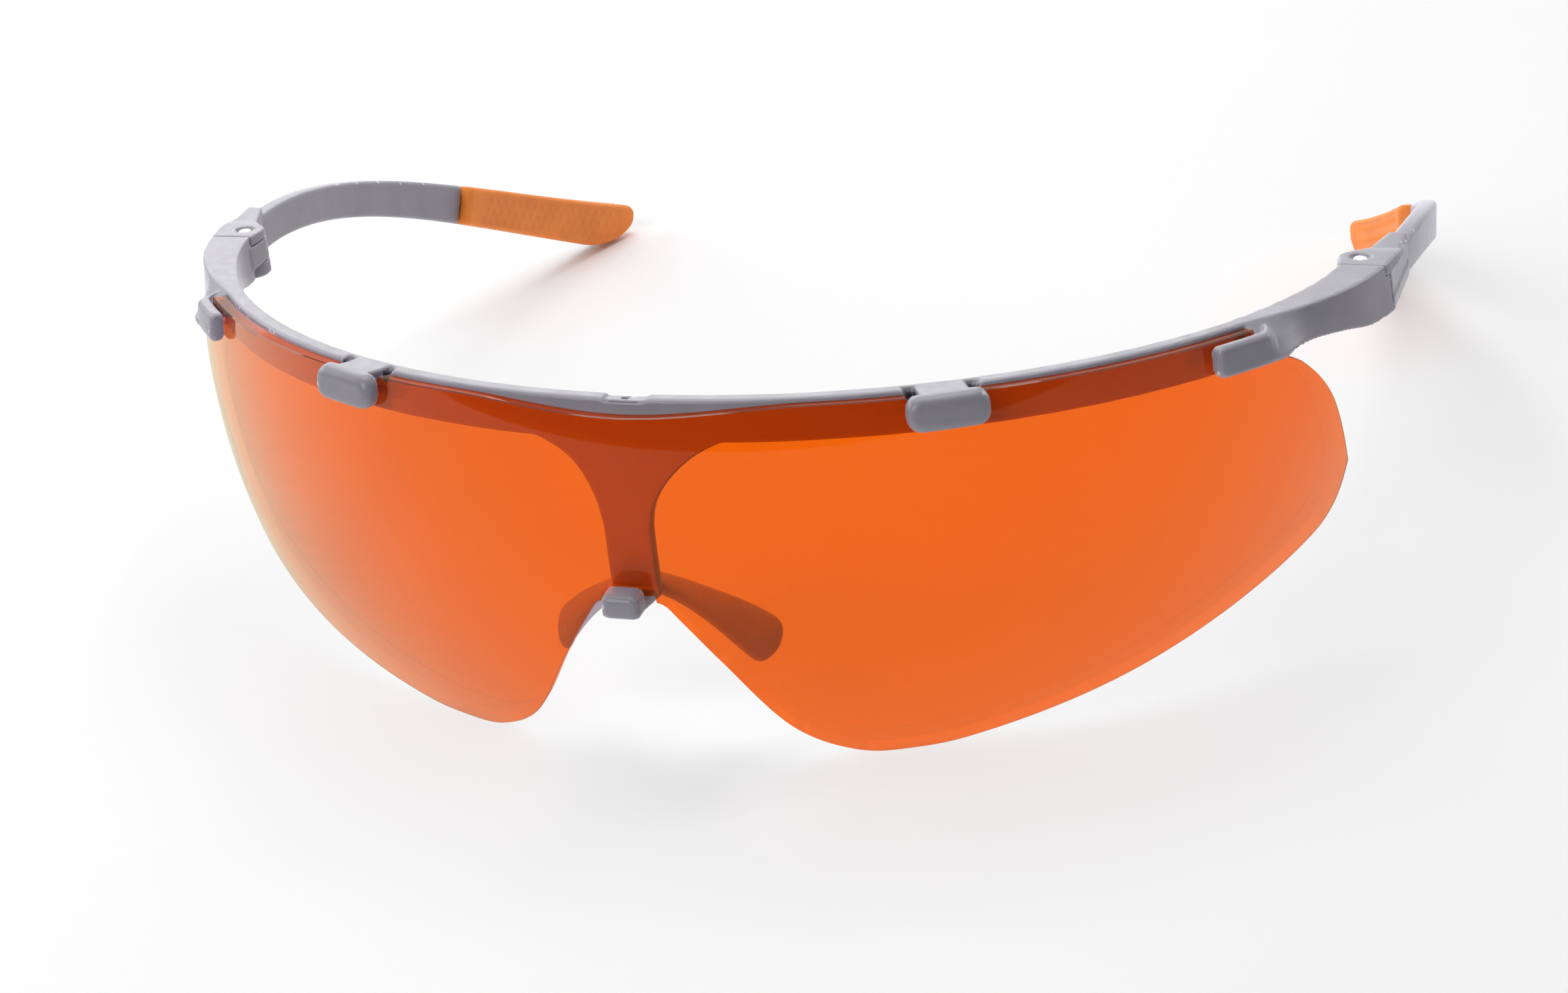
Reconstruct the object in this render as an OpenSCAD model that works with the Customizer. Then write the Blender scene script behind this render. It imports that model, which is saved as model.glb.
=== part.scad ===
// Safety glasses: a one-piece curved shield lens, clipped to the front of a slim brow frame,
// with a nose stem, a soft nose saddle and two folding temples that end in soft tips.
// The front faces -Y, the temples run back along +Y and the glasses stand on z = 0.
// "left" and "right" are the wearer's, so left is on the +X side.

/* [Lens] */
// Radius of the lens's outer face, which is part of a sphere
lens_r = 73.8; // [73:0.1:74.6]
// Thickness of the lens
lens_t = 1.6; // [1.4:0.1:1.8]
// Height of that sphere's centre above the table
lens_z = 27.9; // [27.5:0.1:28.3]
// Depth of the dip in the lens's top edge over the nose
lens_dip = 1.3; // [1:0.1:1.6]

/* [Brow frame] */
// Height of the frame's top face at the nose
rim_top = 41.7; // [41.6:0.1:42.2]
// Fall of the top face from the nose to the hinges, in degrees
rim_fall = 3.6; // [3:0.1:4]
// Height of the band behind the lens
band_h = 4.4; // [4:0.1:5]
// Thickness of the band
band_t = 1.8; // [1.7:0.1:2.1]
// Width of the stem that runs down to the nose
stem_w = 5; // [4.4:0.2:5.6]
// Radius of the fillets between the stem and the band
fillet_r = 10.5; // [9:0.5:12]
// Angle round the lens from the nose to the middle of each brow clip
clip_angle = 25.5; // [22:0.5:30]
// Width of each brow clip
clip_w = 8.4; // [8:0.2:10]
// Angle round the lens from the nose to the free end of each side hook
hook_angle = 48; // [47:0.2:49]

/* [Hinges] */
// Distance of each hinge pin from the middle
pin_x = 66; // [65.6:0.1:66.4]
// Diameter of the hinge pins
pin_d = 1.6; // [1.4:0.1:1.8]
// Radial clearance of the pins in the temples
pin_play = 0.05; // [0.03:0.01:0.08]
// Gap between neighbouring hinge leaves
leaf_gap = 0.15; // [0.1:0.01:0.2]

/* [Temples] */
// Thickness of the arm between the hinge and the tip
arm_t = 2.2; // [2:0.1:2.6]
// Height of the arm behind the hinge
arm_h = 4.5; // [4.2:0.1:4.8]
// Height of the arm at its tip
tip_h = 7; // [6.6:0.1:7.2]
// Where along the arm the soft tip starts, from 0 at the hinge to 1 at the end
tip_start = 0.61; // [0.58:0.01:0.7]
// Thickness of the soft tip
tip_t = 2.5; // [2:0.1:3]

/* [Nose saddle] */
// Thickness of the soft saddle
saddle_t = 1.7; // [1.4:0.1:2]
// Width of each wing at its widest
wing_w = 5.4; // [4.6:0.2:6]

/* [Hidden] */
$fn = 64;

// The middle of the sphere that the lens, the band and the clips follow
centre = [0, -3.5, lens_z];
// Free space between the lens and the frame
fit_gap = 0.15;
// Where the top face has the height rim_top
rim_y = -72;
lens_in = lens_r - lens_t;
band_out = lens_in - fit_gap;
band_in = band_out - band_t;
// Outer faces of the clips and of the side hooks, and their back face
clip_out = lens_r + 1.8;
hook_out = lens_r + 1.6;
clip_in = lens_r + fit_gap;
// Outer face of the end plates
plate_out = lens_r - 0.7;
// Where the middle of the nose saddle stands
saddle_y = -71.2;
// Angle round the lens at which the slot behind a side hook ends
slot_end = 53;
// Length that is safely past every part when something is cut
far = 120;

// Hinge: the pin, and the levels of the upper leaf, knuckle and lower leaf
pin = [pin_x, -23.2];
seam_y = -26;
shoulder_y = seam_y + 1;
leaf_end_y = -14;
knuckle_top = 37.45;
knuckle_low = 34.8;
leaf_low = 33;
knuckle_r = 2.4;
pin_low = leaf_low - 0.2;
// Slope of a leaf's top behind the pin, in degrees, and how far behind the pin it starts
leaf_fall = 14;
leaf_flat = 2.4;

// Top edge of an arm, as the four control points of a curve
arm_curve = [[68.8, -16, 37.3], [72.9, 15.6, 35], [67.9, 47.2, 17.4], [56.8, 78.8, 4.3]];
// Where along the arm its lower edge starts to round up to the end
toe_start = 0.925;
toe_end = 1.012;
arm_rings = 26;
edge_r = 0.6;

function along(p, u) =
    pow(1 - u, 3) * p[0] + 3 * u * pow(1 - u, 2) * p[1]
    + 3 * u * u * (1 - u) * p[2] + pow(u, 3) * p[3];
function unit(v) = v / norm(v);
function polar(r, a) = [r * sin(a), -r * cos(a)];
function mix(a, b, t) = a + (b - a) * t;
function smooth(t) = let(c = min(1, max(0, t))) c * c * (3 - 2 * c);

// A smooth curve through a list of points, with n steps between neighbours
function spline(p, n) = [
    for (i = [0 : len(p) - 2], k = [0 : n - 1])
        let(
            t = k / n,
            a = p[max(0, i - 1)],
            b = p[i],
            c = p[i + 1],
            d = p[min(len(p) - 1, i + 2)]
        )
        0.5 * (2 * b + (c - a) * t + (2 * a - 5 * b + 4 * c - d) * t * t
        + (3 * b - a - 3 * c + d) * t * t * t)
];

// Notch in the lens's top edge for the neck of a clip: its half width, in degrees, and depth
notch_half = 2.9;
notch_deep = 1.5;
notch_edge = 0.3;
dip_end = 15;

// Half of the lens's top edge, as the angle round the lens and the depth below the top face
lens_top = [
    for (a = [0 : 2.5 : dip_end]) [a, mix(lens_dip, fit_gap, smooth(a / dip_end))],
    [clip_angle - notch_half, fit_gap],
    [clip_angle - notch_half + notch_edge, notch_deep],
    [clip_angle + notch_half - notch_edge, notch_deep],
    [clip_angle + notch_half, fit_gap],
    for (a = [34 : 6 : 46]) [a, fit_gap],
    [slot_end - 0.3, fit_gap]
];
// The rest of that half, as the angle and the height, down to the notch over the nose hook
lens_side = [[slot_end - 0.3, 36.7], [55.6, 36.2], [58.6, 33.8], [61.6, 29]];
lens_low = [
    [61.6, 29], [64.2, 20.3], [62.6, 15.4], [58.2, 12.1], [42.2, 5.1], [27.7, 0.9],
    [21.5, 0.05], [16.6, 0.6], [11.5, 4.5], [6.7, 13.4], [4, 18.4], [2.6, 20.5], [1.4, 20.5]
];
lens_nose = [[2.5, 20.6], [2.3, 21.5], [0, 21.5]];

// Height of the frame's top plane at y, and at a radius and angle round the lens's centre
function top_z(y) = rim_top - tan(rim_fall) * (y - rim_y);
function top_height(r, a) = top_z(centre[1] - r * cos(a));
lens_half = concat(
    [for (p = lens_top) [p[0], top_height(lens_r, p[0]) - p[1]]],
    spline(lens_side, 4),
    [for (p = spline(lens_low, 4)) if (p[0] > lens_nose[0][0] + 0.2) p],
    lens_nose
);
lens_ring = concat(
    lens_half,
    [for (i = [len(lens_half) - 2 : -1 : 1]) [-lens_half[i][0], lens_half[i][1]]]
);

// Everything on one side, or on both
module both_sides() {
    children();
    mirror([1, 0, 0]) children();
}

module ball_shell(r_out, r_in) {
    translate(centre) difference() {
        sphere(r = r_out);
        sphere(r = r_in);
    }
}

// The space between two depths below the frame's sloping top face
module top_slab(from, to) {
    translate([0, rim_y, rim_top]) rotate([-rim_fall, 0, 0])
        translate([-far, -20, -to]) cube([2 * far, far, to - from]);
}

// The upright wedge between two angles round the lens
module wedge(a0, a1) {
    translate([centre[0], centre[1], 0]) linear_extrude(height = 60)
        polygon([[0, 0], polar(far, a0), polar(far * 1.2, (a0 + a1) / 2), polar(far, a1)]);
}

// Places something that is drawn facing forward, at an angle round the lens
module round_lens(a) {
    translate([centre[0], centre[1], 0]) rotate([0, 0, a]) children();
}

module rounded_rect(w, h, r) {
    square([w - 2 * r, h], center = true);
    square([w, h - 2 * r], center = true);
    for (x = [-1, 1], z = [-1, 1]) {
        translate([x * (w / 2 - r), z * (h / 2 - r)]) circle(r = r);
    }
}

// ---------------------------------------------------------------- brow frame

module band() {
    intersection() {
        ball_shell(band_out, band_in);
        top_slab(0, band_h);
        wedge(-slot_end - 2, slot_end + 2);
    }
}

// The stem behind the lens, with its two fillets up to the band
stem_low = 21.3;
module stem() {
    fillet_top = rim_top - band_h + 0.5;
    intersection() {
        ball_shell(band_out, band_in);
        translate([0, centre[1], 0]) rotate([90, 0, 0]) linear_extrude(height = far) {
            translate([-stem_w / 2, stem_low]) square([stem_w, fillet_top - stem_low]);
            for (side = [-1, 1]) {
                difference() {
                    translate([side * (stem_w + fillet_r) / 2, fillet_top - fillet_r / 2])
                        square([fillet_r, fillet_r], center = true);
                    translate([side * (stem_w / 2 + fillet_r), fillet_top - fillet_r])
                        circle(r = fillet_r);
                }
            }
        }
    }
}

// The hook that turns forward under the nose arch and up in front of the lens, with a tongue
// at its back that holds the saddle; grow makes the room for it in the saddle
tongue_w = 2.4;
module nose_hook(grow) {
    hook_front = lens_r + 2.9;
    hook_top = 22.9;
    hook_w = stem_w - 1;
    sole = 1.1;
    front_y = centre[1] - hook_front;
    back_y = centre[1] - band_in + 1;
    translate([-stem_w / 2 - grow, front_y, stem_low - sole - grow])
        cube([stem_w + 2 * grow, back_y - front_y + grow, sole + 2 * grow]);
    translate([-tongue_w / 2 - grow, back_y - 1, stem_low - sole - grow])
        cube([tongue_w + 2 * grow, saddle_y - back_y + 1.6 + grow, sole + 2 * grow]);
    intersection() {
        translate([-hook_w / 2, front_y, stem_low - sole])
            cube([hook_w, hook_front - lens_r + 1, hook_top - stem_low + sole]);
        translate(centre) difference() {
            sphere(r = hook_front + 1);
            sphere(r = clip_in);
        }
    }
}

// A brow clip: a neck over the lens's top edge and a rounded pad in front of the lens
neck_w = 5.2;
module brow_clip() {
    pad_top = top_height(clip_out, clip_angle) + 0.2;
    pad_h = 3.5;
    neck_t = 1.2;
    round_lens(clip_angle) {
        intersection() {
            translate([0, 0, pad_top - pad_h / 2]) rotate([90, 0, 0])
                linear_extrude(height = far) rounded_rect(clip_w, pad_h, 1.3);
            translate([0, 0, lens_z]) difference() {
                sphere(r = clip_out);
                sphere(r = clip_in);
            }
        }
    }
    intersection() {
        ball_shell(clip_out - 0.4, band_in + 0.4);
        top_slab(-0.2, neck_t);
        round_lens(clip_angle) translate([-neck_w / 2, -far, 0]) cube([neck_w, far, 60]);
    }
}

// Plan outline of an end plate: it leaves the side hook and runs back to the hinge
function plate_outer(a) = mix(plate_out, hook_out, pow(1 - smooth((a - slot_end) / 9), 2));
function plate_inner(a) =
    sqrt(pow(band_in, 2) - pow(rim_top - lens_z, 2)) - 1.1 * pow(max(0, (a - 58) / 13), 2);
plate_angles = [for (k = [0 : 15]) slot_end + 1.5 * k];
plate_plan = concat(
    [for (a = plate_angles) polar(plate_outer(a), a)],
    [for (i = [len(plate_angles) - 1 : -1 : 0]) polar(plate_inner(plate_angles[i]), plate_angles[i])]
);
// Lower edge of an end plate, seen from the side
plate_low = spline([[-62, 37.1], [-52, 37.2], [-44, 36.8], [-36, 35.2], [-30, 33.6], [-24, 33.2]], 4);

// The cone that leans an end plate's outer face inwards beside the hook. Its rim is the crease
// along the plate's upper edge, which comes nearer to the plate's outer wall towards the hinge
module plate_lean() {
    rim_r = 63.8;
    off_axis = 11.7;
    off_angle = 107;
    lean = 30;
    deep = 12;
    axis = off_axis * [sin(off_angle), -cos(off_angle)];
    translate([0, rim_y, rim_top]) rotate([-rim_fall, 0, 0])
        translate([axis[0], centre[1] + axis[1] - rim_y, -deep])
            cylinder(h = deep + 1, r1 = rim_r + deep / tan(lean), r2 = rim_r - 1 / tan(lean), $fn = 240);
}

module end_plate() {
    intersection() {
        translate([centre[0], centre[1], 0]) linear_extrude(height = 60) polygon(plate_plan);
        rotate([90, 0, 90]) linear_extrude(height = far)
            polygon(concat(plate_low, [[-24, 60], [-62, 60]]));
        top_slab(0, 20);
        plate_lean();
    }
}

// A side hook: a short finger in front of the lens, which leaves the end plate
module side_hook() {
    finger_h = 2.9;
    finger_top = 0.55;
    intersection() {
        ball_shell(hook_out, clip_in);
        top_slab(finger_top, finger_top + finger_h);
        wedge(hook_angle, slot_end + 0.8);
    }
}

// Everything of the end plate that makes room for the temple's leaves
module hinge_room() {
    // Behind the seam the upper leaf lies on top, and below it only the outer wall goes on
    translate([pin_x - 8, seam_y - leaf_gap, knuckle_top]) cube([20, 20, 20]);
    translate([pin_x - 8, shoulder_y, 0]) cube([20, 20, 60]);
    translate([pin_x - 8, seam_y - leaf_gap, 0]) cube([9.2, 20, knuckle_top + 1]);
    translate([pin[0], pin[1], 0]) cylinder(r = knuckle_r + leaf_gap, h = knuckle_low);
}

module knuckle() {
    translate([0, 0, knuckle_low]) linear_extrude(height = knuckle_top - knuckle_low) {
        translate(pin) circle(r = knuckle_r);
        translate([pin_x - knuckle_r, seam_y - 1]) square([2 * knuckle_r - 0.6, pin[1] - seam_y + 1]);
    }
}

module pin_bore(r) {
    translate([pin[0], pin[1], 0]) cylinder(r = r, h = 60);
}

// A notch in the top face at the nose, with the moulding gate's small hole in it
module gate_notch() {
    notch_w = 4;
    notch_z = rim_top - 0.2;
    hole_y = centre[1] - sqrt(pow((band_out + band_in) / 2, 2) - pow(rim_top - lens_z, 2));
    translate([-notch_w / 2, -far, notch_z]) cube([notch_w, far, 5]);
    translate([0, hole_y, notch_z - 1]) cylinder(r = 0.4, h = 4, $fn = 24);
}

module brow_frame() {
    color([0.62, 0.61, 0.65]) difference() {
        union() {
            difference() {
                band();
                gate_notch();
            }
            stem();
            nose_hook(0);
            both_sides() {
                brow_clip();
                side_hook();
                difference() {
                    end_plate();
                    hinge_room();
                }
                knuckle();
            }
        }
        both_sides() pin_bore(pin_d / 2);
    }
}

// ---------------------------------------------------------------------- lens

// The cone from the sphere's centre through the lens's outline, which cuts its edges square
module outline_cone() {
    count = len(lens_ring);
    ray = [
        for (p = lens_ring)
            let(up = (p[1] - lens_z) / lens_r, flat = sqrt(1 - up * up))
            [tan(p[0]), -1, up / flat / cos(p[0])]
    ];
    inner = 24;
    outer = 84;
    polyhedron(
        points = concat([for (r = ray) centre + inner * r], [for (r = ray) centre + outer * r]),
        faces = concat(
            [[for (i = [count - 1 : -1 : 0]) i]],
            [[for (i = [0 : count - 1]) count + i]],
            [for (i = [0 : count - 1]) let(j = (i + 1) % count) [i, j, count + j, count + i]]
        )
    );
}

module lens() {
    color([0.96, 0.42, 0.09, 0.7]) intersection() {
        ball_shell(lens_r, lens_in);
        outline_cone();
    }
}

// --------------------------------------------------------------- nose saddle

// Middle line of one half of the saddle, with its width and the way its width is turned
saddle_path = [
    [0, saddle_y, 20.4, 2.8, 90],
    [3.4, saddle_y + 0.2, 19.3, 3.1, 80],
    [7, saddle_y + 0.9, 16.9, wing_w * 0.8, 66],
    [10, saddle_y + 2, 13.9, wing_w, 60],
    [11.8, saddle_y + 3.1, 11.6, wing_w * 0.85, 56]
];

module saddle_bead(s) {
    bead_r = saddle_t / 2;
    translate([s[0], s[1], s[2]]) rotate([0, 0, s[4]])
        for (e = [-1, 1]) {
            translate([e * (s[3] / 2 - bead_r), 0, 0]) sphere(r = bead_r, $fn = 16);
        }
}

module nose_saddle() {
    color([0.55, 0.54, 0.58]) difference() {
        both_sides() for (i = [0 : len(saddle_path) - 2]) {
            hull() {
                saddle_bead(saddle_path[i]);
                saddle_bead(saddle_path[i + 1]);
            }
        }
        nose_hook(0.05);
    }
}

// ------------------------------------------------------------------- temples

// Height of the arm at u, which rounds off at the toe
function toe(u) = u < toe_start ? 1
    : sqrt(max(0, 1 - pow((u - toe_start) / (toe_end - toe_start), 2)));
function arm_height(u) = mix(arm_h, tip_h, u * abs(u)) * toe(u);

// One ring of an arm's skin at u, between two offsets from the middle of its thickness
function arm_ring(u, out, in) =
    let(
        step = 0.002,
        here = along(arm_curve, u),
        ahead = unit(along(arm_curve, u + step) - along(arm_curve, u - step)),
        side = unit([ahead[1], -ahead[0], 0]),
        down = cross(ahead, side) * (cross(ahead, side)[2] < 0 ? 1 : -1),
        h = arm_height(u),
        r = min(edge_r, (out - in) / 2.6, h / 3)
    )
    [
        for (c = [[out, 0, -90], [out, h, 0], [in, h, 90], [in, 0, 180]], k = [0 : 2])
            let(
                a = c[2] + 45 * k,
                mid_s = c[0] == out ? out - r : in + r,
                mid_d = c[1] == 0 ? r : h - r
            )
            here + side * (mid_s + r * cos(a)) + down * (mid_d + r * sin(a))
    ];

// The solid swept along the arm from u0 to u1
module arm_sweep(u0, u1, out, in, rings) {
    skin = [for (i = [0 : rings]) arm_ring(mix(u0, u1, i / rings), out, in)];
    sides = len(skin[0]);
    polyhedron(
        points = [for (ring = skin, p = ring) p],
        faces = concat(
            [[for (k = [0 : sides - 1]) k]],
            [[for (k = [sides - 1 : -1 : 0]) rings * sides + k]],
            [
                for (i = [0 : rings - 1], k = [0 : sides - 1])
                    let(n = (k + 1) % sides)
                    [i * sides + k, (i + 1) * sides + k, (i + 1) * sides + n, i * sides + n]
            ]
        ),
        convexity = 6
    );
}

// Plan outline of the leaves that carry the pin, and the outline of the web between them
leaf_side = [[pin_x + 4.2, leaf_end_y], [pin_x + 2.2, leaf_end_y]];
web_x = pin_x + 1.4;
module leaf_plan() {
    translate(pin) circle(r = knuckle_r);
    polygon(concat(
        [[pin_x - 1.2, pin[1] - 2], [pin_x + 0.2, seam_y], [pin_x + 3.5, seam_y]],
        leaf_side,
        [[pin_x - 0.6, pin[1] + 2.3]]
    ));
}

module web_plan() {
    polygon(concat(
        [[web_x, shoulder_y + leaf_gap], [pin_x + 3.7, shoulder_y + leaf_gap]],
        leaf_side,
        [[pin_x + 0.4, -19.4]]
    ));
}

module leaves() {
    upper_low = knuckle_top + leaf_gap;
    intersection() {
        translate([0, 0, upper_low]) linear_extrude(height = 10) leaf_plan();
        top_slab(0, 20);
        translate([0, pin[1] + leaf_flat, top_z(pin[1] + leaf_flat)]) rotate([-leaf_fall, 0, 0])
            translate([0, -10, -20]) cube([far, 30, 20]);
    }
    // The lower leaf is round in front of the pin, and wide only behind the end plate's wall
    translate([0, 0, leaf_low]) linear_extrude(height = knuckle_low - leaf_gap - leaf_low) {
        translate(pin) circle(r = knuckle_r);
        difference() {
            leaf_plan();
            translate([pin_x - 10, seam_y - 1]) square([20, shoulder_y + leaf_gap - seam_y + 1]);
        }
    }
    // The web behind the knuckle joins both leaves to the arm
    translate([0, 0, leaf_low]) linear_extrude(height = upper_low + 0.5 - leaf_low)
        difference() {
            web_plan();
            translate(pin) circle(r = knuckle_r + 2 * leaf_gap);
        }
}

module temple_arm() {
    color([0.6, 0.59, 0.63]) difference() {
        union() {
            leaves();
            arm_sweep(-0.02, tip_start, arm_t / 2, -arm_t / 2, arm_rings);
            arm_sweep(tip_start - 0.01, 0.995, arm_t / 2, -0.1, arm_rings);
        }
        pin_bore(pin_d / 2 + pin_play);
    }
}

module ear_tip() {
    color([0.93, 0.45, 0.16])
        arm_sweep(tip_start + 0.002, 1.004, -0.12, -0.12 - tip_t, arm_rings);
}

module hinge_pin() {
    pin_top = top_z(pin[1]) - 0.1;
    color([0.8, 0.8, 0.82]) translate([pin[0], pin[1], pin_low])
        cylinder(r = pin_d / 2, h = pin_top - pin_low);
}

module temple_arm_left() { temple_arm(); }
module temple_arm_right() { mirror([1, 0, 0]) temple_arm(); }
module ear_tip_left() { ear_tip(); }
module ear_tip_right() { mirror([1, 0, 0]) ear_tip(); }
module hinge_pin_left() { hinge_pin(); }
module hinge_pin_right() { mirror([1, 0, 0]) hinge_pin(); }

brow_frame();
lens();
nose_saddle();
temple_arm_left();
temple_arm_right();
ear_tip_left();
ear_tip_right();
hinge_pin_left();
hinge_pin_right();
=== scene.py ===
import math

import bmesh
import bpy
import numpy as np
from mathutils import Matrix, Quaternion, Vector


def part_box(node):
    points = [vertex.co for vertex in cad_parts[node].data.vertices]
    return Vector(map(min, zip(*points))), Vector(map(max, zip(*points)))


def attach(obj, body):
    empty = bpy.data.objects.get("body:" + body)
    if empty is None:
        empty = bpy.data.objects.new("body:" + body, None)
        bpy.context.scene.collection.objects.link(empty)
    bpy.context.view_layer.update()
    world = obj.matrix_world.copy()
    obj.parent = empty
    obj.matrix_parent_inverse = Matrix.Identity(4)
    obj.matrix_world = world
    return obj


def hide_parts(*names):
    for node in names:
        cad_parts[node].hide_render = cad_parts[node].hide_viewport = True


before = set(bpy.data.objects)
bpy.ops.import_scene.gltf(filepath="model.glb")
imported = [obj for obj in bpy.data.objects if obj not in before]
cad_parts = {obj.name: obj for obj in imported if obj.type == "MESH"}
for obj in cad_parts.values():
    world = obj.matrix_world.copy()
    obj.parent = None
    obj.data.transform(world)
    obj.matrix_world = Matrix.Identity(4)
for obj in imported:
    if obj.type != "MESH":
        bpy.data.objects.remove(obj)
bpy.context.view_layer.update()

# Lengths are in millimetres, in the CAD's frame, and are scaled once, when a mesh is made.
# Lights and camera are in metres. The +X side is built, and mirrored for the other.
MM = 0.001


def box_mm(cad_node):
    """The two corners of a CAD node's box, in millimetres."""
    low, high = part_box(cad_node)
    return [c / MM for c in low], [c / MM for c in high]


# ------------------------------------------------------------------ sizes
# The lens is part of a ball about (0, BALL_Y, BALL_Z). Angles are in degrees round that ball's
# upright axis, from the nose.
LENS_R = 73.8
LENS_T = 1.6
FIT_GAP = 0.15
BALL_Y = -3.5
BALL_Z = 27.9
LENS_IN = LENS_R - LENS_T
# The band behind the lens's top. Its upper face falls towards the back.
BAND_OUT = LENS_IN - FIT_GAP
BAND_IN = BAND_OUT - 1.8
BAND_H = 4.4
RIM_TOP = 41.7
RIM_Y = -72.0
RIM_FALL = math.radians(3.6)
# Nose stem, clips and side hooks
STEM_W = 5.0
STEM_LOW = 21.3
FILLET_R = 10.5
NOSE_HOOK_W = 4.0
CLIP_ANGLE = 25.5
CLIP_W = 8.4
NECK_W = 5.2
HOOK_ANGLE = 48.0
SLOT_END = 53.0
HOOK_OUT = LENS_R + 1.6
# End plates and hinges. The leaves stand closer together than in the CAD part.
PLATE_OUT = LENS_R - 0.7
SEAM_Y = -26.0
SHOULDER_Y = -25.0
KNUCKLE_TOP = 37.45
KNUCKLE_LOW = 34.8
KNUCKLE_R = 2.4
LEAF_LOW = 33.0
LEAF_GAP = 0.06
# Temples and ear pads. The curve's four control points give the arm's upper edge.
ARM_T = 2.2
ARM_H = 4.5
TIP_H = 7.0
TIP_START = 0.6
TIP_T = 2.5
ARM_CURVE = np.array([[68.8, -16, 37.3], [72.9, 15.6, 35], [67.9, 47.2, 17.4], [56.8, 78.8, 4.3]])

pin_low, pin_high = box_mm("hinge_pin_left")
PIN_X = (pin_low[0] + pin_high[0]) / 2
PIN_Y = (pin_low[1] + pin_high[1]) / 2
PIN_R = (pin_high[0] - pin_low[0]) / 2


# ------------------------------------------------------------------ helpers
def smooth(t):
    t = min(1.0, max(0.0, t))
    return t * t * (3 - 2 * t)


def mix(a, b, t):
    return a + (b - a) * t


def on_ball(r, angle, z):
    """The point at an angle round the lens and a height, on the ball of radius r."""
    flat = math.sqrt(r * r - (z - BALL_Z) ** 2)
    a = math.radians(angle)
    return (flat * math.sin(a), BALL_Y - flat * math.cos(a), z)


def on_ball_x(r, x, z):
    """The point with that x and z on the front of the ball of radius r."""
    return (x, BALL_Y - math.sqrt(r * r - x * x - (z - BALL_Z) ** 2), z)


def top_z(y):
    """Height of the frame's sloping top face."""
    return RIM_TOP - math.tan(RIM_FALL) * (y - RIM_Y)


def under_top(r, angle, depth):
    """The point on the ball of radius r that lies at a depth below the frame's sloping top face."""
    z = RIM_TOP - depth
    for _ in range(4):
        z = top_z(on_ball(r, angle, z)[1]) - depth
    return on_ball(r, angle, z)


def rounded(s0, s1, t0, t1, r, steps=4):
    """A rectangle with rounded corners, as a list of (s, t)."""
    r = min(r, (s1 - s0) / 2.01, (t1 - t0) / 2.01)
    corners = ((s1 - r, t1 - r), (s0 + r, t1 - r), (s0 + r, t0 + r), (s1 - r, t0 + r))
    ring = []
    for i, (s, t) in enumerate(corners):
        for k in range(steps + 1):
            a = math.radians(90 * i + 90 * k / steps)
            ring.append((s + r * math.cos(a), t + r * math.sin(a)))
    return ring


def subdivide_ring(ring, most):
    """The ring with extra points, so that no two neighbours are further apart than most."""
    full = []
    for i, a in enumerate(ring):
        b = ring[(i + 1) % len(ring)]
        n = max(1, math.ceil(math.dist(a, b) / most))
        full += [tuple(mix(a[k], b[k], j / n) for k in range(len(a))) for j in range(n)]
    return full


def even_ring(ring, count):
    """The same outline with an exact number of evenly spaced points."""
    p = np.array(ring + ring[:1])
    d = np.concatenate([[0], np.cumsum(np.linalg.norm(np.diff(p, axis=0), axis=1))])
    at = np.linspace(0, d[-1], count, endpoint=False)
    return [tuple(np.interp(s, d, p[:, k]) for k in range(p.shape[1])) for s in at]


def loft(bm, rings):
    """A closed skin through rings of the same number of points."""
    rows = [[bm.verts.new(p) for p in ring] for ring in rings]
    n = len(rings[0])
    faces = []
    for a, b in zip(rows, rows[1:]):
        for k in range(n):
            j = (k + 1) % n
            faces.append(bm.faces.new((a[k], a[j], b[j], b[k])))
    faces.append(bm.faces.new(rows[0][::-1]))
    faces.append(bm.faces.new(rows[-1]))
    return faces


def clip_faces(bm, faces, point, normal):
    """Cuts a closed skin with a plane, keeps what is behind it and closes the cut."""
    edges = {e for f in faces for e in f.edges}
    verts = {v for f in faces for v in f.verts}
    geom = list(verts) + list(edges) + list(faces)
    cut = bmesh.ops.bisect_plane(
        bm, geom=geom, dist=1e-5, plane_co=point, plane_no=normal, clear_outer=True
    )
    rim = [g for g in cut["geom_cut"] if isinstance(g, bmesh.types.BMEdge)]
    filled = bmesh.ops.holes_fill(bm, edges=rim, sides=0)["faces"]
    kept = [g for g in cut["geom"] if isinstance(g, bmesh.types.BMFace) and g.is_valid]
    return kept + filled


def make_object(name, bm, mirrored=False):
    """An object from a bmesh in millimetres, as it is or mirrored to the -X side."""
    if mirrored:
        for v in bm.verts:
            v.co.x = -v.co.x
    for v in bm.verts:
        v.co *= MM
    bmesh.ops.recalc_face_normals(bm, faces=bm.faces)
    mesh = bpy.data.meshes.new(name)
    bm.to_mesh(mesh)
    bm.free()
    obj = bpy.data.objects.new(name, mesh)
    bpy.context.scene.collection.objects.link(obj)
    mesh.shade_smooth()
    return obj


def fuse(obj, voxel, rounds):
    """Joins an object's overlapping solids into one moulded skin and rounds its edges."""
    remesh = obj.modifiers.new("fuse", "REMESH")
    remesh.mode = "VOXEL"
    remesh.voxel_size = voxel * MM
    remesh.use_smooth_shade = True
    soften = obj.modifiers.new("soften", "SMOOTH")
    soften.factor = 0.5
    soften.iterations = rounds
    graph = bpy.context.evaluated_depsgraph_get()
    mesh = bpy.data.meshes.new_from_object(obj.evaluated_get(graph), depsgraph=graph)
    mesh.materials.clear()
    obj.modifiers.clear()
    obj.data = mesh
    mesh.shade_smooth()


def flip(ring, side):
    """The ring, or its mirror image if side is -1."""
    return [(side * p[0], p[1], p[2]) for p in ring]


# ------------------------------------------------------------------ materials
BLACK = (0, 0, 0)
WHITE = (1, 1, 1)


def grey(tone):
    return (tone, tone, tone)


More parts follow.
